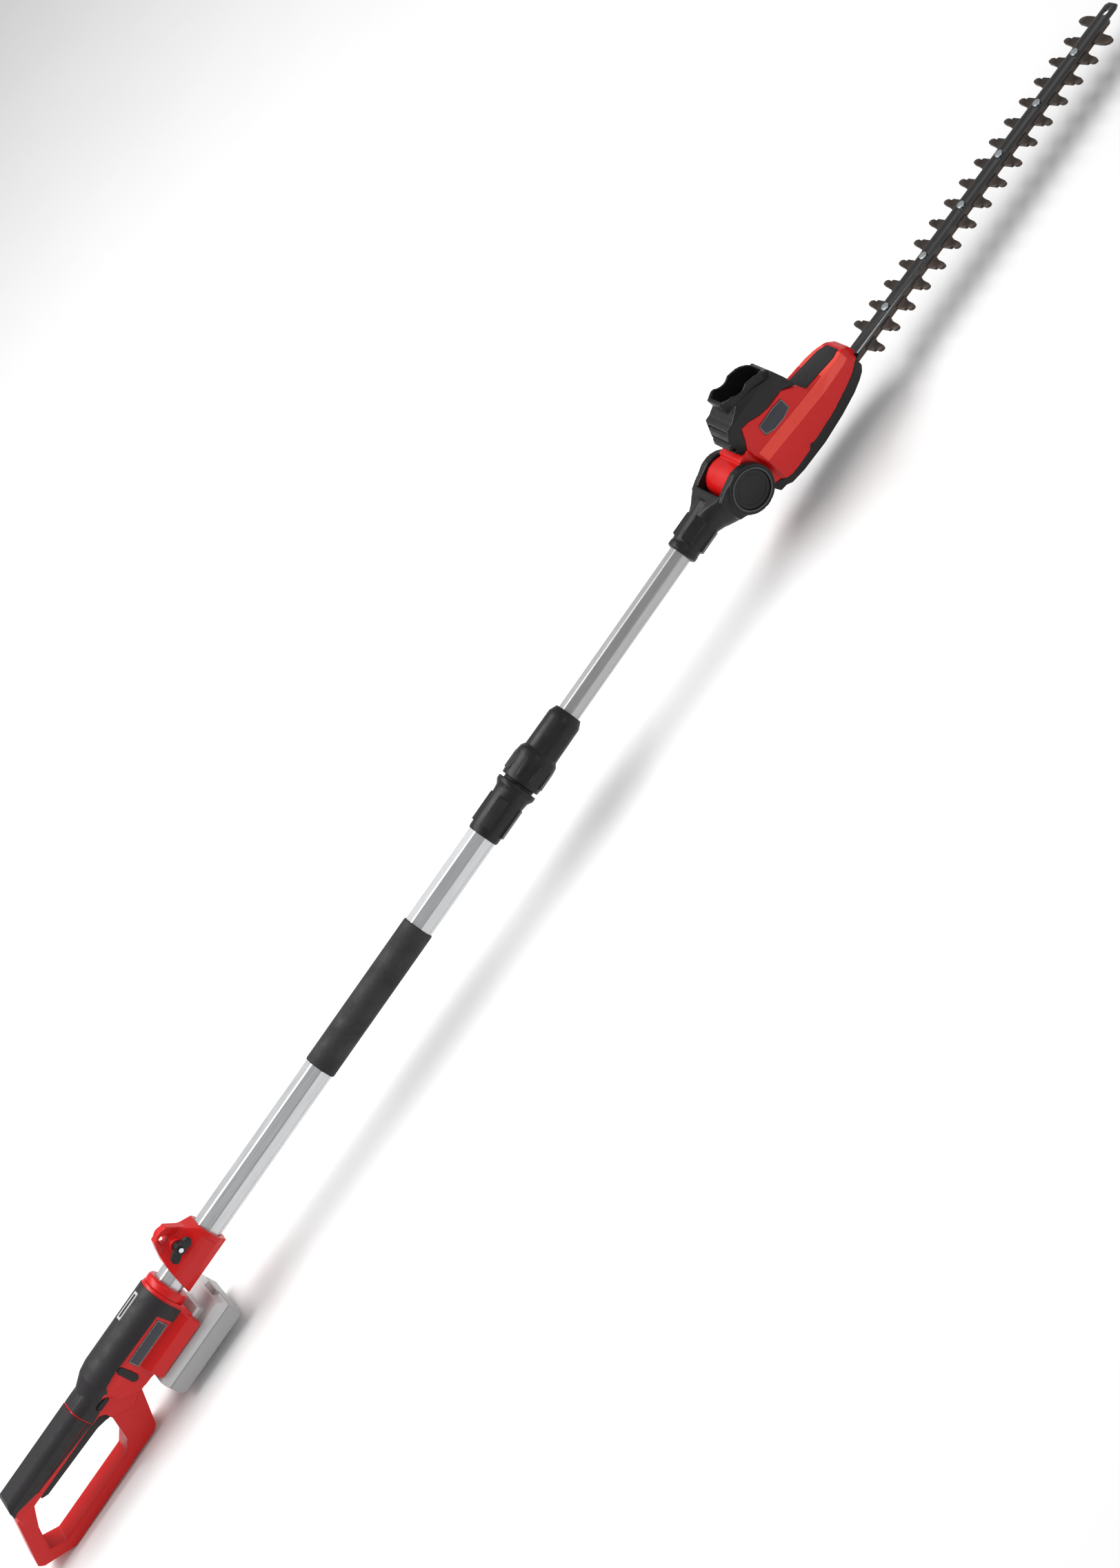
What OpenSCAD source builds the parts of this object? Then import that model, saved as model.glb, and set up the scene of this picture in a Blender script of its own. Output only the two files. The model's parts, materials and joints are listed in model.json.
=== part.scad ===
// Cordless telescopic pole hedge trimmer, built as separate pieces.
// X runs along the pole, handle end low and blade tip high. Z is up.
// Stations along X are measured from a datum inside the twist lock.

/* [Pole] */
// outer tube, across flats
tube_af = 34; // [28:0.5:40]
// inner tube, across flats
inner_af = 26.4; // [20:0.2:30]
// wall of both tubes
tube_wall = 1.5; // [1:0.1:3]
// height of the pole axis above the floor
axis_z = 97.5; // [90:0.1:110]
// front end of the foam sleeve
foam_end = -232; // [-260:1:-200]
// length of the foam sleeve
foam_len = 201; // [150:1:250]
// outside radius of the foam sleeve
foam_r = 19.6; // [18.6:0.1:25]

/* [Blade] */
// number of teeth on each side
tooth_count = 16; // [8:1:24]
// spacing of the teeth
tooth_pitch = 30; // [20:1:40]
// reach of a tooth tip from the middle line
tooth_reach = 40; // [25:1:45]
// half width of the support bar
bar_half = 12; // [8:0.5:16]
// downward tilt of the cutter bar
bar_tilt = 1.8; // [0:0.1:4]
// half of each blade's stroke
half_stroke = 7.5; // [4:0.5:10]
// thickness of one blade
blade_t = 2; // [1.5:0.1:3]
// number of bar screws
bar_screw_count = 6; // [3:1:8]
// spacing of the bar screws
bar_screw_pitch = 75; // [50:1:100]

/* [Handle] */
// outside radius of the housing barrel
barrel_r = 28; // [24:0.5:32]
// half width of the handle loop
loop_half = 16; // [12:0.5:20]
// half width of the grip
grip_half = 18.5; // [15:0.5:22]
// half width of the flat body sides
body_half = 27; // [22:0.5:30]
// half width of the battery rail block
rail_half = 36; // [30:0.5:40]

/* [Head] */
// half width of the gear housing
head_half = 32; // [28:0.5:36]
// half width of the motor cover
cover_half = 27; // [24:0.5:30]
// radius of the hinge discs
disc_r = 31; // [26:0.5:36]
// half width over the hinge discs
hinge_half = 37; // [32:0.5:42]

/* [Battery] */
// half width of the battery pack
pack_half = 38; // [32:0.5:42]
// length of the battery pack
pack_len = 120; // [100:1:140]

/* [Hidden] */
$fn = 96;
mid_x = 10;
skin = 1.2;
seam = 0.05;
run_fit = 0.05;
big = 400;
oct_k = 1 / cos(22.5);
pivot_x = 408.3;
pivot_z = -5.8;
pin_r = 6;
bracket_bolt_x = -694;
bracket_bolt_z = 29;
motor_x = 513;
motor_shaft_r = 2.5;
vent_count = 3;
facet_x = 467;
facet_slope = 4.9;
gear_x = 546;
gear_teeth = 54;
pinion_teeth = 12;
bar_x = 618;
bar_z = -40.3;
bar_tip = 510;
bar_bottom = blade_t + 0.6;
bar_t = 2.8;
tip_tooth_left = 1099 - bar_x;
tip_tooth_right = 1083 - bar_x;
tip_screw = 1054 - bar_x;
strip_half = 11.9;
yoke_half = 25;
blade_split = 0.06;
tooth_root = strip_half + blade_split;
ecc_r = 13;
shaft_r = 4;
pack_front = -722;
pack_rear = pack_front - pack_len;
cells = 5;
cell_r = 10.5;

// ---------- helpers ----------
module place() {
  translate([-mid_x, 0, axis_z]) children();
}

// extrude a side profile (x, z) between two y values
module slab(pts, y0, y1) {
  translate([0, y1, 0]) rotate([90, 0, 0]) linear_extrude(y1 - y0) polygon(pts);
}

// extrude a cross-section (y, z) between two x values
module beam(pts, x0, x1) {
  translate([x0, 0, 0]) rotate([90, 0, 90]) linear_extrude(x1 - x0) polygon(pts);
}

module xcyl(x0, x1, r) {
  translate([x0, 0, 0]) rotate([0, 90, 0]) cylinder(h = x1 - x0, r = r);
}

module ycyl(x, z, y0, y1, r) {
  translate([x, y1, z]) rotate([90, 0, 0]) cylinder(h = y1 - y0, r = r);
}

module zcyl(x, z0, z1, r) {
  translate([x, 0, z0]) cylinder(h = z1 - z0, r = r);
}

module block(x0, x1, y0, y1, z0, z1) {
  translate([x0, y0, z0]) cube([x1 - x0, y1 - y0, z1 - z0]);
}

// eight sided bar with slightly rounded corners
module octa_sharp(x0, x1, af) {
  translate([x0, 0, 0]) rotate([0, 90, 0]) rotate([0, 0, 22.5])
    linear_extrude(x1 - x0) circle(r = af / 2 * oct_k, $fn = 8);
}

module octa(x0, x1, af, soft = 0.35) {
  if (soft > 0) intersection() {
    octa_sharp(x0, x1, af);
    xcyl(x0, x1, af / 2 * oct_k - soft);
  }
  else octa_sharp(x0, x1, af);
}

// body of revolution about X from (x, r) points, bored to r0 by its inner edge
module turned(pts) {
  rotate([0, 90, 0]) rotate_extrude() polygon([for (p = pts) [p[1], p[0]]]);
}

module pill(x0, x1, z, y0, y1, r) {
  block(x0 + r, x1 - r, y0, y1, z - r, z + r);
  for (x = [x0 + r, x1 - r]) ycyl(x, z, y0, y1, r);
}

module left_half() {
  intersection() {
    children();
    block(-2000, 2000, -big, -seam, -big, big);
  }
}

module right_half() {
  intersection() {
    children();
    block(-2000, 2000, seam, big, -big, big);
  }
}

module both_sides() {
  children();
  mirror([0, 1, 0]) children();
}

// ---------- pole ----------
module outer_tube() color("Silver") place() difference() {
  octa(-775, 5, tube_af);
  octa(-776, 6, tube_af - 2 * tube_wall);
}

module foam_grip() color("Black") place() difference() {
  xcyl(foam_end - foam_len, foam_end, foam_r);
  octa(foam_end - foam_len - 1, foam_end + 1, tube_af + 2 * seam, 0);
}

module collar_shape() {
  turned([[-102, 0], [-102, 19], [-99, 20], [-50, 21], [-42, 22], [-36, 25.6], [-30.5, 25.6],
    [-30.5, 20], [8, 20], [8, 0]]);
  for (a = [-45, 45, 135, 225]) rotate([a, 0, 0]) block(-92, -52, -7, 7, 15, 21.6);
}

module lower_collar() color("Black") place() difference() {
  collar_shape();
  octa(-104, 5, tube_af + 2 * seam, 0);
  xcyl(4, 10, 15);
}

module clamp_collet() color("Peru") place() difference() {
  turned([[8.2, 0], [8.2, 19], [16, 19], [27, 17.4], [27, 0]]);
  xcyl(8, 28, inner_af / 2 * oct_k + 0.35);
  for (a = [0:60:300]) rotate([a, 0, 0]) block(11, 28, -0.8, 0.8, 0, 20);
}

module sleeve_shape() {
  turned([[-26.5, 0], [-26.5, 24.4], [-24, 25], [6, 26], [12, 25], [17, 21.6], [64, 21.2],
    [73.5, 17], [73.5, 0]]);
  for (a = [0:40:320]) rotate([a, 0, 0]) block(-20, 4, -2.2, 2.2, 20, 26.6);
}

module twist_sleeve() color("Black") place() difference() {
  sleeve_shape();
  xcyl(-28, 12, 20 + run_fit);
  xcyl(11, 29, 19.6);
  xcyl(28, 75, inner_af / 2 * oct_k + 0.4);
}

module pole_cable() color("DimGray") place() {
  xcyl(-772, -470, 4);
  for (x = [-700:9:-480]) xcyl(x, x + 6, 9);
}

module inner_tube() color("Silver") place() difference() {
  octa(-225, 330, inner_af);
  octa(-226, 331, inner_af - 2 * tube_wall);
}

module guide_bush() color("Ivory") place() difference() {
  octa(-222, -185, tube_af - 2 * tube_wall - 0.7, 0.35);
  octa(-223, -184, inner_af + 2 * seam, 0);
}

// ---------- strap bracket ----------
module bracket_section() {
  beam([[-6, 56], [-6, 36], [-20, 14], [-21.5, 6], [-21.5, -9], [-15, -21.5], [15, -21.5],
    [21.5, -9], [21.5, 6], [20, 14], [6, 36], [6, 56]], -745, -655);
}

module bracket_side() {
  difference() {
    union() {
      slab([[-737, -24], [-660, -24], [-662, 18], [-672, 30], [-684, 52], [-706, 52],
        [-714, 40], [-724, 20]], -30, 30);
      ycyl(-695, 41, -30, 30, 13);
    }
    slab([[-680, 60], [-680, 52], [-664, 30], [-655, 30], [-655, 60]], -31, 31);
  }
}

module bracket_rim() {
  slab([[-668, -24], [-660, -24], [-662, 18], [-669, 24]], -23.5, 23.5);
}

module bracket_body() {
  difference() {
    union() {
      intersection() {
        bracket_section();
        bracket_side();
      }
      intersection() {
        bracket_rim();
        xcyl(-745, -655, 23.8);
      }
      both_sides() ycyl(bracket_bolt_x, bracket_bolt_z, 6, 15, 9);
    }
    octa(-750, -650, tube_af + 0.8, 0);
    ycyl(bracket_bolt_x, bracket_bolt_z, -40, 40, 3.1);
    ycyl(-698, 43.8, -40, 40, 5.5);
    block(-750, -650, -0.4, 0.4, 0, 60);
  }
}

module strap_bracket_left() color("Red") left_half() place() bracket_body();

module strap_bracket_right() color("Red") right_half() place() bracket_body();

module bracket_bolt() color("Gray") place() {
  ycyl(bracket_bolt_x, bracket_bolt_z, -27, 15.2, 3);
  ycyl(bracket_bolt_x, bracket_bolt_z, 15.05, 19.4, 6.2);
}

module wing() {
  slab([[3, -5.5], [12, -6.5], [18, -4.5], [21, 0], [20, 5], [15, 7], [9, 5.5], [3, 5.5]],
    -6, -1);
}

module wing_nut() color("Black") place() translate([bracket_bolt_x, -16, bracket_bolt_z])
  difference() {
    union() {
      ycyl(0, 0, -9, 0.4, 7.5);
      for (a = [0, 180]) rotate([0, a, 0]) rotate([0, 0, -22]) translate([0, -1.5, 0]) wing();
    }
    ycyl(0, 0, -14, 2, 3 + run_fit);
  }

// ---------- rear housing ----------
module loop_outer() {
  slab([[-842, -40], [-859, -39.5], [-893, -90], [-900, -94], [-1047, -97.5], [-1066, -97.5],
    [-1104, -77], [-1108, -70], [-1072, -12], [-1060, -4], [-880, -4], [-842, -10]],
    -loop_half, loop_half);
}

module loop_opening() {
  slab([[-909, -34], [-925, -70], [-940, -81], [-1064, -81], [-1083, -68], [-1064, -38],
    [-1043, -15.5], [-914, -15.5], [-908, -22]], -big, big);
}

module grip_core(extra) {
  intersection() {
    slab([[-880, -22], [-880, 15 + extra], [-1056, 15 + extra], [-1062 - extra, 8],
      [-1070 - extra, -22]], -grip_half - extra, grip_half + extra);
    translate([0, 0, -3]) xcyl(-1080, -870, 21 + extra);
  }
}

module barrel(extra) {
  translate([0, 0, -1]) {
    xcyl(-870, -752, barrel_r + extra);
    turned([[-924, 0], [-924, 15.4 + extra], [-905, 18 + extra], [-884, 26 + extra],
      [-870, barrel_r + extra], [-870, 0]]);
  }
}

module rail_block() {
  beam([[-29, -19], [-rail_half, -27], [-rail_half, -46], [rail_half, -46], [rail_half, -27],
    [29, -19]], -836, -757);
}

module body_plate() {
  slab([[-752, 0], [-752, -24], [-754, -34], [-757, -40], [-840, -40], [-862, -38], [-884, -20],
    [-884, 0]], -body_half, body_half);
  slab([[-926, 4], [-926, -20], [-884, -48], [-858, -38], [-852, -20], [-856, 4]], -20, 20);
}

module housing_cavity() {
  intersection() {
    block(-868, -762, -22.5, 22.5, -32, 20);
    translate([0, 0, -1]) xcyl(-870, -760, 24.5);
  }
  block(-836, -766, -20, 20, -33, -10);
  block(-962, -915, -9, 9, -17, 6);
  block(-916, -868, -5, 5, 0, 6);
}

module pack_slot() {
  block(-837, -700, -20.6, 20.6, -60, -39);
  block(-837, -700, -25.6, 25.6, -41.4, -35.4);
}

module housing_body() {
  difference() {
    union() {
      loop_outer();
      barrel(0);
      body_plate();
      grip_core(0);
      rail_block();
    }
    loop_opening();
    housing_cavity();
    pack_slot();
    octa(-770, -740, tube_af + 2 * seam, 0);
    block(-822, -768, -18.1, 18.1, -36, -30);
    block(-1037, -904, -10.6, 10.6, -40, -8.5);
    block(-1020, -940, -4, 4, -12, -5);
    ycyl(-1028, -18, -13.5, 13.5, 2.5 + run_fit);
    pill(-907.6, -888, -8.2, -30, 30, 3.7);
    both_sides() side_pocket();
    translate([0, -40, 0]) window_pocket();
    screw_holes();
  }
}

module side_pocket() {
  pill_up(-852, 6.1, -24.7, -body_half - 2, -body_half + 1.5, 5.1);
  slab([[-838.6, -14.6], [-778.4, -14.6], [-778.4, 1.1], [-838.6, 1.1]], -body_half - 5,
    -body_half);
}

module pill_up(x, z1, z0, y0, y1, r) {
  block(x - r, x + r, y0, y1, z0 + r, z1 - r);
  for (z = [z0 + r, z1 - r]) ycyl(x, z, y0, y1, r);
}

module window_pocket() {
  block(-806.1, -767.9, 35.9, 44.1, 24, 40);
}

function screw_spots() = [[-1092, -74], [-1056, -89.5], [-930, -89.5], [-874, -30],
  [-985, 6], [-886, 2]];

module screw_holes() {
  for (p = screw_spots()) {
    ycyl(p[0], p[1], -9.5, 9.5, 2);
    ycyl(p[0], p[1], 9.4, 40, 3.6);
  }
}

module rear_housing_left() color("Red") left_half() place() housing_body();

module rear_housing_right() color("Red") right_half() place() housing_body();

module housing_screws() color("Silver") place() for (p = screw_spots()) {
  ycyl(p[0], p[1], -9, 9.5, 1.95);
  ycyl(p[0], p[1], 9.45, 11.5, 3.5);
}

module overmould_zone() {
  slab([[-757, 40], [-757, -18.8], [-773, -18.8], [-775, 5], [-862, 7], [-877, 5], [-884, -2],
    [-908, -1], [-924, -1], [-924, 40]], -60, 60);
}

module barrel_overmould() color("DimGray") place() difference() {
  intersection() {
    union() {
      barrel(skin);
      block(-773.5, -757, -body_half - skin, body_half + skin, -21, -3);
    }
    overmould_zone();
  }
  barrel(0.02);
  block(-900, -740, -body_half - 0.02, body_half + 0.02, -40, 0.5);
  block(-925, -870, -20.02, 20.02, -70, 4.02);
  grip_core(0.02);
  translate([0, -40, 0]) window_pocket();
  pill(-907.6, -888, -8.2, -30, 30, 3.7);
}

module grip_overmould() color("DimGray") place() difference() {
  intersection() {
    grip_core(skin);
    slab([[-927, 40], [-927, -6], [-1026, -6], [-1058, 1], [-1068, -2], [-1068, 40]], -60, 60);
  }
  grip_core(0.02);
}

module front_ring() color("Red") place() difference() {
  translate([0, 0, -1]) turned([[-751.9, 0], [-751.9, 26.8], [-744, 26.8], [-741, 25],
    [-741, 0]]);
  octa(-753, -740, tube_af + 2 * seam, 0);
}

module window_frame() color("LightGray") place() difference() {
  block(-806, -768, -4, 4, 24.2, 29.4);
  block(-803, -771, -2.2, 2.2, 26, 30);
}

module window_lens() color("Black") place() block(-802.9, -771.1, -2.1, 2.1, 26.1, 28.8);

module side_inserts() color("Black") place() both_sides()
  pill_up(-852, 6, -24.6, -body_half - 0.9, -body_half + 1.4, 5);

module rear_badges() color("MidnightBlue") place() both_sides()
  slab([[-838.5, -14.5], [-778.5, -14.5], [-778.5, 1], [-838.5, 1]], -body_half - 1.1,
    -body_half - 0.05);

module terminal_block() color("Black") place() block(-821, -769, -18, 18, -35.4, -30.5);

module contact_blades() color("Gold") place() for (y = [-12, -4, 4, 12])
  block(-815, -790, y - 0.5, y + 0.5, -39.3, -35.45);

module control_board() color("Green") place() {
  block(-862, -806, -19, 19, -8, -6.4);
  for (x = [-856:14:-814]) block(x, x + 8, -10, 10, -6.35, -1);
}

module main_switch() color("Black") place() {
  block(-958, -920, -8, 8, -8.8, 5);
}

module trigger() color("DimGray") place() {
  slab([[-1034, -15], [-1034, -23], [-1026, -27], [-930, -30], [-918, -33], [-910, -36],
    [-907.5, -31], [-913, -20], [-925, -17]], -10, 10);
  ycyl(-1028, -18, -13, 13, 2.5);
}

module lock_off() color("Black") place() pill(-907.1, -888.5, -8.2, -22.6, 22.6, 3.2);

// ---------- battery ----------
module pack_outline() {
  intersection() {
    beam([[-pack_half, -56], [-pack_half, -83], [-pack_half + 5, -88], [pack_half - 5, -88],
      [pack_half, -83], [pack_half, -56], [pack_half - 5, -49.5], [-pack_half + 5, -49.5]],
      pack_rear, pack_front);
    slab([[pack_rear, -49.5], [pack_rear, -78], [pack_rear + 8, -88], [pack_front - 8, -88],
      [pack_front, -80], [pack_front, -56], [pack_front - 6, -49.5]], -60, 60);
  }
}

module pack_cells() {
  for (k = [0:cells - 1])
    ycyl(pack_rear + 16 + k * (2 * cell_r + 0.9), -72.5, -33, 33, cell_r);
}

module battery_case() color("LightGray") place() difference() {
  intersection() {
    pack_outline();
    block(-900, -700, -60, 60, -100, -62);
  }
  block(pack_rear + 3, pack_front - 3, -33.5, 33.5, -83.8, -61);
}

module battery_lid() color("Silver") place() difference() {
  union() {
    intersection() {
      pack_outline();
      block(-900, -700, -60, 60, -61.95, -40);
    }
    block(-835.5, -745, -20, 20, -50, -38);
    block(-835.5, -745, -25, 25, -40.8, -36);
  }
  for (y = [-12, -4, 4, 12]) block(-850, -785, y - 1, y + 1, -40.2, -35);
  block(pack_front - 15, -700, -13.5, 13.5, -59, -52);
}

module battery_cells() color("SteelBlue") place() pack_cells();

module battery_release() color("DarkGray") place()
  block(pack_front - 9, pack_front + 2.4, -13, 13, -58.6, -52.4);

// ---------- tilt hinge ----------
module fork_arm() {
  ycyl(pivot_x, pivot_z, -hinge_half, -25, disc_r);
  slab([[372, 17], [384, 21], [pivot_x, 26], [pivot_x, -30], [386, -25], [372, -18]],
    -hinge_half + 2, -25);
}

module fork_neck() {
  turned([[301, 0], [301, 15.8], [303, 19.2], [309, 19.2], [311, 18.4], [350, 20.5],
    [366, 22], [366, 0]]);
  intersection() {
    turned([[346, 0], [346, 20], [356, 24], [372, hinge_half - 2], [378, hinge_half - 2],
      [378, 0]]);
    slab([[346, 17.5], [362, 19.5], [378, 20], [378, -23], [362, -21], [346, -18]], -40, 40);
  }
  for (a = [-45, 45, 135, 225]) rotate([a, 0, 0]) block(316, 346, -7, 7, 15, 21);
}

module hinge_fork() color("Black") place() difference() {
  union() {
    both_sides() fork_arm();
    fork_neck();
  }
  octa(300, 331, inner_af + 2 * seam, 0);
  ycyl(pivot_x, pivot_z, -24.9, 24.9, 28.2);
  ycyl(pivot_x, pivot_z, -big, big, pin_r + seam);
  both_sides() ycyl(pivot_x, pivot_z, -hinge_half - 1, -30, 24.6);
}

module disc_rings() color("DarkGray") place() both_sides() difference() {
  ycyl(pivot_x, pivot_z, -hinge_half - 1.2, -hinge_half - 0.02, 27);
  ycyl(pivot_x, pivot_z, -hinge_half - 3, -hinge_half + 3, 24.6);
}

module far_cap() color("Black") place()
  ycyl(pivot_x, pivot_z, 33.2, hinge_half - 0.8, 24.5);

module hinge_pin() color("Silver") place() {
  ycyl(pivot_x, pivot_z, -30, 30.05, pin_r);
  ycyl(pivot_x, pivot_z, 30.05, 32.8, 11);
}

module tilt_button() color("Black") place() difference() {
  ycyl(pivot_x, pivot_z, -hinge_half + 0.4, -33.4, 24.2);
  ycyl(pivot_x, pivot_z, -hinge_half, -hinge_half + 1.2, 19);
}

// ---------- cutter head ----------
module bar_frame() {
  translate([bar_x, 0, bar_z]) rotate([0, bar_tilt, 0]) children();
}

module head_side() {
  slab([[424, 22], [436, 22], [441, 23], [455.5, 48], [467, 45.6], [480, 38.8], [495, 34.6],
    [519, 34], [535, 19], [541, 3], [604, -7.5], [612, -14], [614.5, -30], [603, -32],
    [574, -37], [527, -41], [498.4, -42], [493.4, -39], [488, -44], [455, -43.5],
    [431, -35], [424, -30]], -60, 60);
}

module head_section() {
  translate([facet_x, 0, 0]) rotate([0, facet_slope, 0])
    beam([[-20, 70], [-27, 59], [-27, 8], [-head_half, -7], [-head_half, -80],
      [head_half, -80], [head_half, -7], [27, 8], [27, 59], [20, 70]], -60, 170);
}

module head_plan(h, x_end) {
  translate([0, 0, -80]) linear_extrude(160) polygon([[424, -24.4], [440, -24.4], [446, -h],
    [545, -h], [590, -h + 6], [x_end - 8, -19], [x_end, -12], [x_end, 12], [x_end - 8, 19],
    [590, h - 6], [545, h], [446, h], [440, 24.4], [424, 24.4]]);
}

module blade_pocket() {
  translate([0, 0, -5]) linear_extrude(18) polygon([[-117, -yoke_half - 0.6],
    [-46, -yoke_half - 0.6], [-23, -16], [-23, 16], [-46, yoke_half + 0.6],
    [-117, yoke_half + 0.6]]);
  translate([0, 0, -2.6]) linear_extrude(15.6) square([70, 31], center = true);
}

module head_cavity() {
  bar_frame() {
    blade_pocket();
    translate([gear_x - bar_x, 0, 5.5]) cylinder(h = 7.5, r = 28.4);
  }
  zcyl(motor_x, -20, 60, 19.4);
  zcyl(motor_x, -30, -10, 7.5);
}

module head_body() {
  difference() {
    union() {
      intersection() {
        head_side();
        head_section();
        head_plan(head_half, 614.5);
      }
      ycyl(pivot_x, pivot_z, -24.5, 24.5, 27.8);
    }
    ycyl(pivot_x, pivot_z, -60, 60, pin_r + run_fit);
    head_cavity();
    inlay_strip(0.05);
  }
}

module head_housing_left() color("Red") left_half() place() difference() {
  head_body();
  cover_zone(0.03);
}

module head_housing_right() color("Red") right_half() place() difference() {
  head_body();
  cover_zone(0.03);
}

module cover_zone(grow) {
  slab([[430, 23 - grow], [440.4, 23 - grow], [455.2 + grow, 48.4 - grow], [467, 46 - grow],
    [480, 39.2 - grow], [495, 35 - grow], [519.2, 34.4 - grow], [536, 19 - grow], [560, 100],
    [400, 100]], -40, 40);
}

module cover_side() {
  slab([[433, 22], [428, 37], [450, 71], [461, 84], [478, 81], [500, 76], [512, 72.5],
    [523, 66], [530, 57], [534.5, 38], [537, 21], [536, 19.2], [519.2, 34.4], [495, 35],
    [480, 39.2], [467, 46], [455.2, 48.4], [440.4, 23]], -60, 60);
}

module cover_plan() {
  translate([0, 0, -80]) linear_extrude(180) polygon([[424, -16], [446, -cover_half],
    [520, -cover_half], [537, -22], [540, 0], [537, 22], [520, cover_half],
    [446, cover_half], [424, 16]]);
}

module cover_shoulders() {
  beam([[-28, 0], [-28, 58], [-24, 70], [-23, 100], [23, 100], [24, 70], [28, 58], [28, 0]],
    400, 560);
}

module cover_hollow() {
  translate([0, 0, 46]) linear_extrude(60) polygon([[466, -12], [474, -19], [516, -19],
    [525, -12], [525, 12], [516, 19], [474, 19], [466, 12]]);
}

module vent_slots() {
  for (k = [0:vent_count - 1]) translate([418, -21, 32 + 11 * k])
    cube([20 + 5 * k, 42, 4.5]);
}

// everything above the shoulder that is outside the collar of the hollow
module collar_trim() {
  difference() {
    slab([[400, 62], [452, 62], [474, 71], [500, 66], [522, 57], [560, 57], [560, 120],
      [400, 120]], -60, 60);
    translate([0, 0, 40]) linear_extrude(90) polygon([[461, -13.5], [472, -22], [518, -22],
      [529, -13.5], [529, 13.5], [518, 22], [472, 22], [461, 13.5]]);
  }
}

module motor_cover() color("Black") place() difference() {
  intersection() {
    cover_side();
    cover_plan();
    cover_shoulders();
  }
  zcyl(motor_x, -20, 41, 19.4);
  cover_hollow();
  vent_slots();
  collar_trim();
  ycyl(491, 90, -40, 40, 16);
}

module guard_side() {
  slab([[424, -30], [431, -35], [455, -43.5], [488, -44], [493.4, -39], [498.4, -42],
    [527, -41], [574, -37], [603, -32], [614.5, -30], [611, -34], [608, -42], [600, -48],
    [574, -53], [545, -54.5], [507, -57], [466, -55], [431, -49]], -60, 60);
}

module guard_base() color("Black") place() difference() {
  intersection() {
    translate([0, 0, -0.05]) guard_side();
    head_plan(head_half - 2, 613);
  }
  bar_frame() blade_pocket();
  block(606.5, 640, -40, 40, -60, -20);
}

module inlay_strip(grow) {
  intersection() {
    slab([[528, 5.2 - grow], [541, 2.2 - grow], [604, -8.3 - grow], [607, -9], [605, -6.8],
      [541, 3.8], [530, 6.5]], -40, 40);
    translate([0, 0, -80]) linear_extrude(160) polygon([[520, -20 - grow], [590, -18 - grow],
      [602 + grow, -12], [602 + grow, 12], [590, 18 + grow], [520, 20 + grow]]);
    block(537, 610, -30, 30, -30, 30);
  }
}

module nose_inlay() color("Black") place() difference() {
  inlay_strip(0);
  cover_zone(0);
}

module head_badges() color("MidnightBlue") place() both_sides()
  slab([[468, 16], [470, 31], [497, 31], [512, 28], [511, 12], [497, 9], [480, 10.5]], -27.9,
    -27.05);

module motor_can() color("Gray") place() {
  zcyl(motor_x, -19.5, 33, 18.9);
  zcyl(motor_x, 33, 39, 10);
  bar_frame() translate([motor_x - bar_x, 0, 6.2]) cylinder(h = 14, r = motor_shaft_r);
}

function tooth_ring(n, r0, r1, w0, w1) = [for (k = [0:n - 1]) for (c = [[r0, -w0], [r1, -w1],
  [r1, w1], [r0, w0]]) [c[0] * cos(360 * k / n + c[1]), c[0] * sin(360 * k / n + c[1])]];

module motor_pinion() color("Silver") place() bar_frame()
  translate([motor_x - bar_x, 0, 6.4]) rotate([0, 0, 180 / pinion_teeth])
    linear_extrude(5) difference() {
      polygon(tooth_ring(pinion_teeth, 4.9, 6.8, 8, 3.2));
      circle(r = motor_shaft_r + run_fit);
    }

module drive_gear() color("Gray") place() bar_frame() translate([gear_x - bar_x, 0, 0])
  difference() {
    union() {
      translate([0, 0, 6]) linear_extrude(6) polygon(tooth_ring(gear_teeth, 25.9, 27.8,
        2, 0.8));
      translate([half_stroke, 0, 0.2]) cylinder(h = 5.85, r = ecc_r);
      translate([-half_stroke, 0, -4]) cylinder(h = 3.9, r = ecc_r);
      translate([0, 0, -4]) cylinder(h = 12, r = shaft_r + 1.4);
    }
    translate([0, 0, -6]) cylinder(h = 20, r = shaft_r + run_fit);
  }

module gear_shaft() color("Silver") place() bar_frame()
  translate([gear_x - bar_x, 0, -4.95]) cylinder(h = 17.85, r = shaft_r);

// ---------- bar and blades, in the bar's own frame ----------
module bar_plate() {
  beam([[-bar_half, bar_bottom], [bar_half, bar_bottom], [bar_half, bar_bottom + 1],
    [bar_half - 1.8, bar_bottom + bar_t], [-bar_half + 4, bar_bottom + bar_t],
    [-bar_half, bar_bottom + 1]], -34, bar_tip);
}

module bar_outline() {
  translate([0, 0, -20]) linear_extrude(60) polygon([[-34, -bar_half], [bar_tip - 6, -bar_half],
    [bar_tip, -bar_half + 3], [bar_tip, bar_half - 6], [bar_tip - 6, bar_half],
    [-34, bar_half]]);
}

module keyhole() {
  translate([bar_tip - 14, 0, -5]) cylinder(h = 30, r = 4.2);
  block(bar_tip - 14, bar_tip - 6, -2, 2, -5, 25);
  translate([bar_tip - 6, 0, -5]) cylinder(h = 30, r = 2);
}

module support_bar() color("Black") place() bar_frame() difference() {
  intersection() {
    bar_plate();
    bar_outline();
  }
  keyhole();
  for (k = [0:bar_screw_count - 1]) translate([tip_screw - k * bar_screw_pitch, 0, 0])
    cylinder(h = 20, r = 3.55);
}

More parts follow.
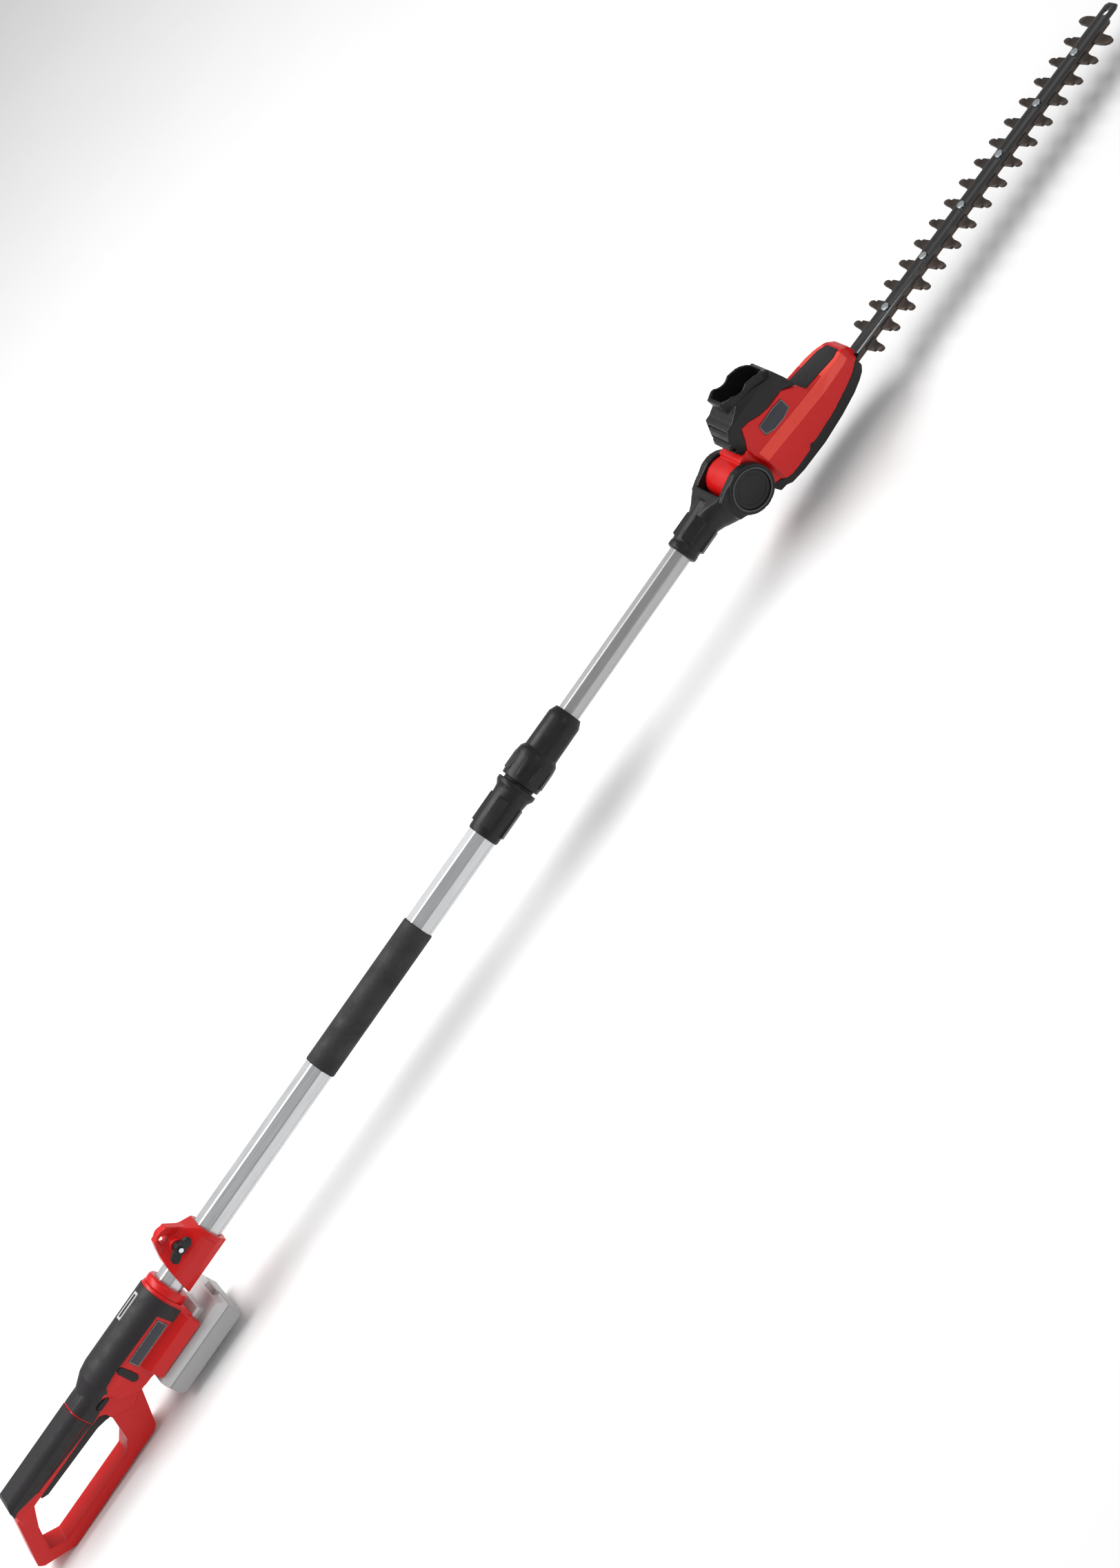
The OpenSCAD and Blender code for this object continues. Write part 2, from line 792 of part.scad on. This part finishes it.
module bar_screws() color("Silver") place() bar_frame()
  for (k = [0:bar_screw_count - 1]) translate([tip_screw - k * bar_screw_pitch, 0, 0]) {
    translate([0, 0, -blade_t - 0.6]) cylinder(h = 2 * blade_t + bar_t + 1.3, r = 3.5);
    translate([0, 0, bar_bottom + bar_t + 0.02]) cylinder(h = 2.6, r = 5.2);
    translate([0, 0, -blade_t - 3]) cylinder(h = 2.4, r = 5.2, $fn = 6);
  }

// one tooth outline on the +Y side, from its rear root to its front root
tooth_pts = [[-9, tooth_root], [-6, 18], [-4.4, 25], [-3.8, 31], [-3.4, tooth_reach - 3.5],
  [-1.6, tooth_reach - 0.4], [1, tooth_reach], [3.6, tooth_reach - 1.8], [5, tooth_reach - 5.5],
  [4.7, 31], [4.4, 29.2], [7, 27.4], [7.6, 20], [8.6, tooth_root]];
fin_pts = [[-7.4, tooth_root], [-5, 20], [-4.4, 28], [-4, tooth_reach - 5],
  [-2, tooth_reach - 1], [1.5, tooth_reach], [5, tooth_reach - 2.5], [7.5, tooth_reach - 8],
  [8.6, 24], [9.2, tooth_root]];

// the -Y row is the same tooth turned half round
module tooth_row(tip) {
  for (k = [0:tooth_count - 1]) translate([tip - k * tooth_pitch, 0])
    polygon(k == 0 ? fin_pts : tooth_pts);
}

module blade_yoke() {
  difference() {
    polygon([[-28, strip_half], [-32, 13], [-58, yoke_half], [-108, yoke_half],
      [-108, -yoke_half], [-58, -yoke_half], [-32, -13], [-28, -strip_half]]);
    translate([gear_x - bar_x, 0]) polygon([[-29, -9], [-15, -21.5], [15, -21.5], [29, -9],
      [29, 9], [15, 21.5], [-15, 21.5], [-29, 9]]);
  }
}

module blade_strip() {
  difference() {
    polygon([[-28 + blade_split, strip_half], [-28 + blade_split, -strip_half],
      [tip_tooth_left + 6, -strip_half], [tip_tooth_left + 10.2, -8],
      [tip_tooth_left + 10.2, strip_half]]);
    for (k = [0:bar_screw_count - 1]) translate([tip_screw - k * bar_screw_pitch, 0]) {
      translate([-half_stroke, -4]) square([2 * half_stroke, 8]);
      for (s = [-1, 1]) translate([s * half_stroke, 0]) circle(r = 4);
    }
  }
}

module blade_flat() {
  blade_yoke();
  blade_strip();
  tooth_row(tip_tooth_left);
  mirror([0, 1]) mirror([1, 0]) tooth_row_back();
}

module tooth_row_back() {
  for (k = [0:tooth_count - 1]) translate([k * tooth_pitch - tip_tooth_right, 0])
    polygon(k == 0 ? fin_pts : tooth_pts);
}

module upper_blade() color("DarkSlateGray") place() bar_frame() translate([0, 0, 0.2])
  linear_extrude(blade_t) blade_flat();

module lower_blade() color("DarkSlateGray") place() bar_frame()
  translate([0, 0, -0.2 - blade_t]) linear_extrude(blade_t) blade_flat();

// ---------- build ----------
rear_housing_left();
rear_housing_right();
barrel_overmould();
grip_overmould();
front_ring();
window_frame();
window_lens();
side_inserts();
rear_badges();
terminal_block();
contact_blades();
control_board();
main_switch();
housing_screws();
outer_tube();
foam_grip();
lower_collar();
clamp_collet();
pole_cable();
strap_bracket_left();
strap_bracket_right();
bracket_bolt();
wing_nut();
trigger();
lock_off();
battery_case();
battery_lid();
battery_cells();
battery_release();
twist_sleeve();
inner_tube();
guide_bush();
hinge_fork();
disc_rings();
far_cap();
hinge_pin();
tilt_button();
head_housing_left();
head_housing_right();
motor_cover();
guard_base();
nose_inlay();
head_badges();
motor_can();
motor_pinion();
drive_gear();
gear_shaft();
support_bar();
bar_screws();
upper_blade();
lower_blade();
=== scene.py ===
"""Looks for the pole hedge trimmer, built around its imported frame."""

import json
import math

import bmesh
import bpy
from mathutils import Matrix, Vector


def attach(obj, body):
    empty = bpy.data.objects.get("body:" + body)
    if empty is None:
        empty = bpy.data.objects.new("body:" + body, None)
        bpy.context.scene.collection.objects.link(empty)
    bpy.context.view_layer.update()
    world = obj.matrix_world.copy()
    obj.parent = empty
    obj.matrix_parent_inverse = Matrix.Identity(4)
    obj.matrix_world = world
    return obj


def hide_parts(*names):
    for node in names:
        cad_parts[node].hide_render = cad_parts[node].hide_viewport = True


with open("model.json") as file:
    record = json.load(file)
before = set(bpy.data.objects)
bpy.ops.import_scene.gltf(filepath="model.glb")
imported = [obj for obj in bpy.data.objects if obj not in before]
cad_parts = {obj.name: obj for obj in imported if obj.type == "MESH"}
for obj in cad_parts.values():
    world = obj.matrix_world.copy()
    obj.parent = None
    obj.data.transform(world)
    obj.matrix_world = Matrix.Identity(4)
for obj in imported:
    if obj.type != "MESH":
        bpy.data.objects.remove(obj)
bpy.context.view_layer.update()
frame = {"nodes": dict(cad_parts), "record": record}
NODES = frame["nodes"]

# the pole frame: X along the pole from the datum in the twist lock, Z up from the pole axis
MID_X = 0.010
AXIS_Z = 0.0975

# the floor lies this far under the object, in metres
FLOOR_GAP = 0.0008
# the height on the pole's frame that the camera looks at, in millimetres
AIM_Z = -47.3
# half the widths over the badges, in millimetres
REAR_BADGE_Y = 28.1
HEAD_BADGE_Y = 27.85
# how close to the middle plane an edge counts as the parting line, in metres
SEAM_HALF = 0.0002

BODY_OF = {n: b for b, ns in frame["record"]["behaviour"]["bodies"].items() for n in ns}
SLOT_OF = {part["node"]: part["material_slot"] for part in frame["record"]["subparts"]}


def at(x, y, z):
    """A point of the pole frame in millimetres, as a row frame point in metres."""
    return Vector((x / 1000 - MID_X, y / 1000, z / 1000 + AXIS_Z))


# ---------- materials ----------
def new_material(name):
    mat = bpy.data.materials.new(name)
    mat.use_nodes = True
    tree = mat.node_tree
    return mat, tree, tree.nodes["Principled BSDF"]


def coordinates(tree, stretch=(1, 1, 1)):
    coord = tree.nodes.new("ShaderNodeTexCoord")
    mapping = tree.nodes.new("ShaderNodeMapping")
    mapping.inputs["Scale"].default_value = stretch
    tree.links.new(coord.outputs["Object"], mapping.inputs["Vector"])
    return mapping.outputs["Vector"]


def noise(tree, vector, scale, detail=3, rough=0.55):
    node = tree.nodes.new("ShaderNodeTexNoise")
    node.inputs["Scale"].default_value = scale
    node.inputs["Detail"].default_value = detail
    node.inputs["Roughness"].default_value = rough
    tree.links.new(vector, node.inputs["Vector"])
    return node.outputs["Fac"]


def ramp(tree, source, low, high, start=0.35, end=0.65):
    node = tree.nodes.new("ShaderNodeMapRange")
    node.inputs["From Min"].default_value = start
    node.inputs["From Max"].default_value = end
    node.inputs["To Min"].default_value = low
    node.inputs["To Max"].default_value = high
    tree.links.new(source, node.inputs["Value"])
    return node.outputs["Result"]


def mix_colour(tree, factor, first, second):
    node = tree.nodes.new("ShaderNodeMix")
    node.data_type = "RGBA"
    tree.links.new(factor, node.inputs[0])
    for socket, value in ((node.inputs[6], first), (node.inputs[7], second)):
        if isinstance(value, tuple):
            socket.default_value = (*value, 1)
        else:
            tree.links.new(value, socket)
    return node.outputs[2]


def bump(tree, shader, height, strength, distance):
    node = tree.nodes.new("ShaderNodeBump")
    node.inputs["Strength"].default_value = strength
    node.inputs["Distance"].default_value = distance
    tree.links.new(height, node.inputs["Height"])
    tree.links.new(node.outputs["Normal"], shader.inputs["Normal"])


def edge_factor(tree, start, end):
    geometry = tree.nodes.new("ShaderNodeNewGeometry")
    return ramp(tree, geometry.outputs["Pointiness"], 0, 1, start, end)


def scaled(colour, factor):
    return tuple(min(1, c * factor) for c in colour)


def moulded(name, colour, rough, grain, depth, shift=0.12, edge_highlight=None, shine=0.5):
    """Moulded plastic: spark grain, cloudy tone, uneven gloss and a painted highlight along sharp
    edges.
    """
    mat, tree, shader = new_material(name)
    vector = coordinates(tree)
    cloud = noise(tree, vector, 18, 4)
    tone = mix_colour(tree, cloud, scaled(colour, 1 - shift), scaled(colour, 1 + shift))
    # painted highlight: sharp edges are mixed towards a paler colour
    rubbed = edge_factor(tree, 0.53, 0.62)
    tone = mix_colour(tree, ramp(tree, rubbed, 0, 0.35, 0, 1), tone, edge_highlight or scaled(colour, 1.6))
    tree.links.new(tone, shader.inputs["Base Color"])
    fine = noise(tree, vector, grain, 2)
    smear = noise(tree, vector, 60, 5)
    tree.links.new(ramp(tree, smear, rough - 0.06, rough + 0.08), shader.inputs["Roughness"])
    shader.inputs["Specular IOR Level"].default_value = shine
    bump(tree, shader, fine, 0.35, depth)
    return mat


def soft_grip(name, colour):
    """Thermoplastic rubber: dense leathery pebble over a dull body."""
    mat, tree, shader = new_material(name)
    vector = coordinates(tree)
    cloud = noise(tree, vector, 30, 4)
    tone = mix_colour(tree, cloud, scaled(colour, 0.8), scaled(colour, 1.25))
    tree.links.new(tone, shader.inputs["Base Color"])
    cells = tree.nodes.new("ShaderNodeTexVoronoi")
    cells.inputs["Scale"].default_value = 1100
    tree.links.new(vector, cells.inputs["Vector"])
    smear = noise(tree, vector, 90, 4)
    tree.links.new(ramp(tree, smear, 0.48, 0.62), shader.inputs["Roughness"])
    bump(tree, shader, cells.outputs["Distance"], 0.4, 0.00012)
    shader.inputs["Specular IOR Level"].default_value = 0.3
    return mat


def foam(name):
    """Foam sleeve: open pores and a soft dull surface."""
    mat, tree, shader = new_material(name)
    vector = coordinates(tree)
    pores = tree.nodes.new("ShaderNodeTexVoronoi")
    pores.inputs["Scale"].default_value = 700
    tree.links.new(vector, pores.inputs["Vector"])
    cloud = noise(tree, vector, 40, 5)
    tone = mix_colour(tree, ramp(tree, pores.outputs["Distance"], 0, 1, 0.1, 0.5),
                      (0.004, 0.004, 0.004), (0.020, 0.019, 0.019))
    tree.links.new(tone, shader.inputs["Base Color"])
    tree.links.new(ramp(tree, cloud, 0.62, 0.85), shader.inputs["Roughness"])
    bump(tree, shader, pores.outputs["Distance"], 0.5, 0.0004)
    return mat


def drawn_metal(name, colour, rough, streak, across=900):
    """Drawn or rolled metal: long fine lines along X with faint handling marks."""
    mat, tree, shader = new_material(name)
    vector = coordinates(tree, (streak, 1, 1))
    lines = noise(tree, vector, across, 4, 0.7)
    cloud = noise(tree, coordinates(tree), 14, 4)
    tone = mix_colour(tree, cloud, scaled(colour, 0.93), scaled(colour, 1.05))
    tone = mix_colour(tree, ramp(tree, lines, 0, 0.3), tone, scaled(colour, 0.8))
    tree.links.new(tone, shader.inputs["Base Color"])
    tree.links.new(ramp(tree, lines, rough - 0.05, rough + 0.09), shader.inputs["Roughness"])
    shader.inputs["Metallic"].default_value = 1
    bump(tree, shader, lines, 0.25, 0.00003)
    return mat


def blade_steel(name):
    """Oxide blackened blade: brown-black film, rubbed paler on its ground edges."""
    mat, tree, shader = new_material(name)
    vector = coordinates(tree)
    cloud = noise(tree, vector, 55, 6)
    film = mix_colour(tree, ramp(tree, cloud, 0, 1), (0.010, 0.007, 0.006), (0.030, 0.020, 0.015))
    ground = ramp(tree, edge_factor(tree, 0.52, 0.58), 0, 0.7, 0, 1)
    tone = mix_colour(tree, ground, film, (0.16, 0.12, 0.10))
    tree.links.new(tone, shader.inputs["Base Color"])
    tree.links.new(ramp(tree, noise(tree, vector, 240, 4), 0.3, 0.5), shader.inputs["Roughness"])
    shader.inputs["Metallic"].default_value = 0.6
    bump(tree, shader, noise(tree, vector, 500, 3), 0.2, 0.00006)
    return mat


def coated_bar(name):
    """Gloss black coat on steel with orange peel and a painted highlight along its sharp edges."""
    mat, tree, shader = new_material(name)
    vector = coordinates(tree)
    cloud = noise(tree, vector, 35, 4)
    tone = mix_colour(tree, cloud, (0.002, 0.002, 0.002), (0.007, 0.007, 0.008))
    # painted highlight: the sharp edges of the bar are mixed towards grey
    tree.links.new(mix_colour(tree, ramp(tree, edge_factor(tree, 0.53, 0.6), 0, 0.5, 0, 1), tone,
                              (0.12, 0.12, 0.12)), shader.inputs["Base Color"])
    tree.links.new(ramp(tree, noise(tree, vector, 120, 4), 0.16, 0.3), shader.inputs["Roughness"])
    shader.inputs["Coat Weight"].default_value = 0.5
    shader.inputs["Coat Roughness"].default_value = 0.12
    bump(tree, shader, noise(tree, vector, 260, 2), 0.15, 0.00008)
    return mat


def ghost_pack(name, colour):
    """Pale grey pack plastic with fine spark grain."""
    # the paler edge colour paints a highlight along sharp edges
    mat = moulded(name, colour, 0.45, 1500, 0.00005, 0.05, scaled(colour, 1.25))
    return mat


# the edge colours passed to moulded() paint a highlight along sharp edges
RED = moulded("red_plastic", (0.58, 0.006, 0.006), 0.34, 1900, 0.00006, 0.06,
              edge_highlight=(0.85, 0.10, 0.07), shine=0.3)
# a paler red that paints the highlight on the gear housing's bevel facet
RED_PAINTED_HIGHLIGHT = moulded("red_bevel_painted_highlight", (0.80, 0.060, 0.040), 0.3, 1900, 0.00005, 0.05,
                    edge_highlight=(0.9, 0.2, 0.15), shine=0.4)
BLACK = moulded("black_plastic", (0.009, 0.0085, 0.009), 0.42, 1700, 0.00009, 0.15,
                edge_highlight=(0.04, 0.04, 0.045), shine=0.28)
GREY = soft_grip("overmould_grey", (0.020, 0.018, 0.020))
FOAM = foam("foam_black")
BADGE = moulded("badge_dark", (0.003, 0.006, 0.014), 0.16, 900, 0.00002, 0.2, (0.05, 0.06, 0.08))
EDGE = drawn_metal("badge_edge", (0.42, 0.42, 0.42), 0.3, 0.2)
FRAME = moulded("frame_grey", (0.5, 0.5, 0.5), 0.35, 1500, 0.00004, 0.05)
LOWER_TUBE = drawn_metal("lower_tube", (0.56, 0.57, 0.58), 0.36, 0.02)
UPPER_TUBE = drawn_metal("upper_tube", (0.43, 0.43, 0.43), 0.36, 0.02)
ZINC = drawn_metal("steel_zinc", (0.62, 0.67, 0.70), 0.25, 0.6, 600)
MOTOR = drawn_metal("motor_steel", (0.4, 0.4, 0.41), 0.35, 0.3)
RING = moulded("ring_gloss", (0.03, 0.03, 0.031), 0.2, 900, 0.00003, 0.1)
BRASS = drawn_metal("brass", (0.8, 0.55, 0.2), 0.3, 0.4)
BOARD = moulded("board_green", (0.02, 0.16, 0.05), 0.3, 700, 0.00004)
NYLON = moulded("nylon", (0.65, 0.62, 0.52), 0.4, 1200, 0.00004, 0.05)
CELL = moulded("cell_wrap", (0.08, 0.2, 0.36), 0.25, 500, 0.00003)
PACK = ghost_pack("battery_grey", (0.36, 0.36, 0.365))
PACK_LIGHT = ghost_pack("battery_light", (0.52, 0.52, 0.525))
PACK_DARK = ghost_pack("battery_shade", (0.28, 0.28, 0.285))
BLADE = blade_steel("blade_oxide")
BAR = coated_bar("bar_black")

NODE_MATERIAL = {
    "rear_housing_left": RED, "rear_housing_right": RED, "front_ring": RED,
    "strap_bracket_left": RED, "strap_bracket_right": RED,
    "head_housing_left": RED, "head_housing_right": RED,
    "barrel_overmould": GREY, "grip_overmould": GREY, "trigger": GREY, "nose_inlay": GREY,
    "window_frame": FRAME, "window_lens": BLACK, "side_inserts": BLACK, "lock_off": BLACK,
    "rear_badges": BADGE, "head_badges": BADGE, "terminal_block": BLACK, "main_switch": BLACK,
    "contact_blades": BRASS, "control_board": BOARD, "housing_screws": ZINC,
    "outer_tube": LOWER_TUBE, "inner_tube": UPPER_TUBE, "foam_grip": FOAM,
    "lower_collar": BLACK, "clamp_collet": NYLON, "guide_bush": NYLON, "pole_cable": BLACK,
    "bracket_bolt": ZINC, "wing_nut": BLACK, "battery_case": PACK, "battery_lid": PACK_LIGHT,
    "battery_cells": CELL, "battery_release": PACK_DARK, "twist_sleeve": BLACK,
    "hinge_fork": BLACK, "disc_rings": RING, "far_cap": BLACK, "hinge_pin": ZINC,
    "tilt_button": BLACK, "motor_cover": BLACK, "guard_base": BLACK, "motor_can": MOTOR,
    "motor_pinion": ZINC, "drive_gear": ZINC, "gear_shaft": ZINC, "support_bar": BAR,
    "bar_screws": ZINC, "upper_blade": BLADE, "lower_blade": BLADE,
}


# ---------- mesh helpers ----------
def adopt(name, mesh, material, body, slot, *nodes):
    """Makes a shown piece from a mesh, on a body and of a material, standing for CAD nodes; the
    slot argument is not used.
    """
    obj = bpy.data.objects.new(name, mesh)
    bpy.context.scene.collection.objects.link(obj)
    mesh.materials.clear()
    mesh.materials.append(material)
    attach(obj, body)
    if nodes:
        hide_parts(*nodes)
    return obj


def shade(mesh, angle=35):
    for face in mesh.polygons:
        face.use_smooth = True
    mesh.set_sharp_from_angle(angle=math.radians(angle))


def on_seam(edge):
    return all(abs(v.co.y) < SEAM_HALF for v in edge.verts)


def sharp_edges(bm, angle):
    """The edges sharper than an angle, apart from those on the parting line."""
    folded = [e for e in bm.edges if len(e.link_faces) == 2 and e.calc_face_angle(0) >= angle]
    return [e for e in folded if not on_seam(e)]


def rounded(node, width):
    """A CAD node's shape with its sharp edges rounded, standing for that node."""
    bm = bmesh.new()
    bm.from_mesh(NODES[node].data)
    bmesh.ops.remove_doubles(bm, verts=bm.verts, dist=1e-6)
    bmesh.ops.dissolve_limit(bm, angle_limit=math.radians(1), verts=bm.verts, edges=bm.edges)
    edges = sharp_edges(bm, math.radians(30))
    bmesh.ops.bevel(bm, geom=edges, offset=width, offset_type="OFFSET", segments=2,
                    profile=0.5, affect="EDGES", clamp_overlap=False)
    bmesh.ops.triangulate(bm, faces=bm.faces)
    mesh = bpy.data.meshes.new(node + "_look")
    bm.to_mesh(mesh)
    bm.free()
    shade(mesh)
    return adopt(node + "_look", mesh, NODE_MATERIAL[node], BODY_OF[node], SLOT_OF[node], node)


def shell(name, nodes, voxel, passes, material):
    """Several CAD nodes fused into one softly rounded moulding."""
    bm = bmesh.new()
    for node in nodes:
        bm.from_mesh(NODES[node].data)
    mesh = bpy.data.meshes.new(name)
    bm.to_mesh(mesh)
    bm.free()
    work = bpy.data.objects.new(name + "_work", mesh)
    bpy.context.scene.collection.objects.link(work)
    remesh = work.modifiers.new("remesh", "REMESH")
    remesh.mode = "VOXEL"
    remesh.voxel_size = voxel
    relax = work.modifiers.new("relax", "SMOOTH")
    relax.factor = 0.5
    relax.iterations = passes
    graph = bpy.context.evaluated_depsgraph_get()
    final = bpy.data.meshes.new_from_object(work.evaluated_get(graph))
    bpy.data.objects.remove(work)
    shade(final, 180)
    return adopt(name, final, material, BODY_OF[nodes[0]], SLOT_OF[nodes[0]], *nodes)


def faces_in(face):
    """Whether a face of a shell looks towards its inside, by its side and slightly upwards."""
    outward = Vector((0, face.calc_center_median().y, 0.004))
    return face.normal.dot(outward) <= 0


def patch(name, source, outline, thick, material, body, slot):
    """A raised skin over the part of a shell inside a convex side outline of (x, z) points."""
    bm = bmesh.new()
    bm.from_mesh(source.data)
    points = [at(x, 0, z) for x, z in outline]
    centre = sum(points, Vector()) / len(points)
    for first, second in zip(points, points[1:] + points[:1]):
        run = second - first
        normal = Vector((run.z, 0, -run.x)).normalized()
        if normal.dot(centre - first) > 0:
            normal = -normal
        geom = bm.verts[:] + bm.edges[:] + bm.faces[:]
        bmesh.ops.bisect_plane(bm, geom=geom, plane_co=first, plane_no=normal, clear_outer=True)
    inner = [f for f in bm.faces if faces_in(f)]
    bmesh.ops.delete(bm, geom=inner, context="FACES")
    bm.normal_update()
    bmesh.ops.solidify(bm, geom=bm.faces[:], thickness=-thick)
    bmesh.ops.recalc_face_normals(bm, faces=bm.faces)
    mesh = bpy.data.meshes.new(name)
    bm.to_mesh(mesh)
    bm.free()
    shade(mesh, 50)
    return adopt(name, mesh, material, body, slot)


def wire(name, points, radius, material, body, slot):
    """A round bead along a closed loop of points."""
    curve = bpy.data.curves.new(name, "CURVE")
    curve.dimensions = "3D"
    curve.bevel_depth = radius
    curve.bevel_resolution = 3
    spline = curve.splines.new("POLY")
    spline.points.add(len(points) - 1)
    for item, p in zip(spline.points, points):
        item.co = (*p, 1)
    spline.use_cyclic_u = True
    work = bpy.data.objects.new(name + "_work", curve)
    bpy.context.scene.collection.objects.link(work)
    graph = bpy.context.evaluated_depsgraph_get()
    mesh = bpy.data.meshes.new_from_object(work.evaluated_get(graph))
    bpy.data.objects.remove(work)
    mesh.name = name
    shade(mesh, 60)
    return adopt(name, mesh, material, body, slot)


# ---------- pieces ----------
def dress_nodes():
    for node, obj in NODES.items():
        obj.data.materials.clear()
        obj.data.materials.append(NODE_MATERIAL[node])


def round_edges():
    widths = {
        "guard_base": 0.0012, "trigger": 0.0016,
        "front_ring": 0.0008, "battery_case": 0.0015, "battery_lid": 0.0010,
        "battery_release": 0.0008, "lower_collar": 0.0006, "twist_sleeve": 0.0006,
        "window_frame": 0.0006, "side_inserts": 0.0006, "rear_badges": 0.0003,
        "head_badges": 0.0003, "nose_inlay": 0.0004, "foam_grip": 0.0016,
        "support_bar": 0.0002, "upper_blade": 0.0003, "lower_blade": 0.0003,
        "bar_screws": 0.0004, "tilt_button": 0.0006, "lock_off": 0.0006, "disc_rings": 0.0004,
    }
    for node, width in widths.items():
        rounded(node, width)


def badge_borders():
    rear = [(-837.6, -13.6), (-779.4, -13.6), (-779.4, 0.1), (-837.6, 0.1)]
    head = [
        (469.2, 17.4), (470.6, 30.2), (496.8, 30.2), (511.2, 27.4),
        (510.3, 12.8), (496.8, 9.9), (480.4, 11.3),
    ]
    for side, name in ((-1, "near"), (1, "far")):
        loop = [at(x, side * REAR_BADGE_Y, z) for x, z in rear]
        wire(f"rear_badge_border_{name}", loop, 0.00035, EDGE, "handle", "ring_satin")
        loop = [at(x, side * HEAD_BADGE_Y, z) for x, z in head]
        wire(f"head_badge_border_{name}", loop, 0.0003, EDGE, "head", "ring_satin")


def neck_overmould(housing):
    neck = [(-925, -13.5), (-909.5, -12), (-884, 3), (-884, 30), (-925, 30)]
    patch("neck_overmould", housing, neck, 0.0009, GREY, "handle", "overmould_grey")
    wedge = [(-926.5, -13.5), (-926.5, -7.6), (-1028, -7.2)]
    patch("grip_wedge", housing, wedge, 0.0007, GREY, "handle", "overmould_grey")


def paint_head_highlight(housing):
    """A painted highlight: a paler red skin over the bevel along both sides of the gear housing."""
    strip = [(447, 9.3), (447, -4.7), (599, -17.8), (599, -3.8)]
    patch("head_bevel_painted_highlight", housing, strip, 0.00025, RED_PAINTED_HIGHLIGHT, "head", "housing_red")


def build_object():
    dress_nodes()
    rear = shell("rear_housing", ["rear_housing_left", "rear_housing_right"], 0.0012, 5, RED)
    head = shell("head_housing", ["head_housing_left", "head_housing_right"], 0.0011, 4, RED)
    shell("motor_cover_look", ["motor_cover"], 0.0010, 6, BLACK)
    shell("hinge_fork_look", ["hinge_fork"], 0.0010, 6, BLACK)
    shell("strap_bracket_look", ["strap_bracket_left", "strap_bracket_right"], 0.0008, 4, RED)
    shell("wing_nut_look", ["wing_nut"], 0.0005, 4, BLACK)
    neck_overmould(rear)
    paint_head_highlight(head)
    round_edges()
    badge_borders()


# ---------- stage ----------
def floor_material():
    mat, tree, shader = new_material("studio_floor")
    vector = coordinates(tree)
    tone = mix_colour(tree, noise(tree, vector, 3, 4), (0.86, 0.86, 0.86), (0.9, 0.9, 0.9))
    tree.links.new(tone, shader.inputs["Base Color"])
    tree.links.new(ramp(tree, noise(tree, vector, 8, 3), 0.7, 0.8), shader.inputs["Roughness"])
    return mat


def build_floor():
    bm = bmesh.new()
    bmesh.ops.create_grid(bm, x_segments=2, y_segments=2, size=20)
    mesh = bpy.data.meshes.new("floor")
    bm.to_mesh(mesh)
    bm.free()
    mesh.materials.append(floor_material())
    floor = bpy.data.objects.new("floor", mesh)
    floor.location = (0, 0, -FLOOR_GAP)
    bpy.context.scene.collection.objects.link(floor)


def area_light(name, location, target, size, size_y, power):
    data = bpy.data.lights.new(name, "AREA")
    data.shape = "RECTANGLE"
    data.size = size
    data.size_y = size_y
    data.energy = power
    obj = bpy.data.objects.new(name, data)
    obj.location = location
    aim = Vector(target) - Vector(location)
    obj.rotation_euler = aim.to_track_quat("-Z", "Y").to_euler()
    bpy.context.scene.collection.objects.link(obj)


def build_lights():
    world = bpy.data.worlds.new("studio")
    world.use_nodes = True
    back = world.node_tree.nodes["Background"]
    back.inputs["Color"].default_value = (1, 1, 1, 1)
    back.inputs["Strength"].default_value = 0.42
    bpy.context.scene.world = world
    area_light("key", (-0.8, 0.9, 2.8), (0, 0, 0), 3.4, 1.4, 112)
    area_light("fill", (1.6, -2.4, 1.5), (0.2, 0, 0), 2.0, 1.0, 14)


def build_camera():
    """Camera fitted to the view: pole level to the picture plane, seen from 34 degrees up."""
    distance = 3.7
    elevation = math.radians(34)
    roll = math.radians(35.1)
    sensor = 36
    # height of the frame at that distance, in metres
    seen_height = 1.8474944
    foot = at(0, 0, AIM_Z)
    toward = Vector((0, -math.cos(elevation), math.sin(elevation)))
    along = Vector((1, 0, 0))
    above = Vector((0, math.sin(elevation), math.cos(elevation)))
    right = math.sin(roll) * along - math.cos(roll) * above
    up = math.cos(roll) * along + math.sin(roll) * above
    data = bpy.data.cameras.new("camera")
    data.sensor_fit = "VERTICAL"
    data.sensor_height = sensor
    data.lens = sensor * distance / seen_height
    camera = bpy.data.objects.new("camera", data)
    basis = Matrix((right, up, toward)).transposed().to_4x4()
    camera.matrix_world = Matrix.Translation(foot + distance * toward) @ basis
    bpy.context.scene.collection.objects.link(camera)
    bpy.context.scene.camera = camera


bpy.context.scene.view_settings.view_transform = "Standard"
build_object()
build_floor()
build_lights()
build_camera()
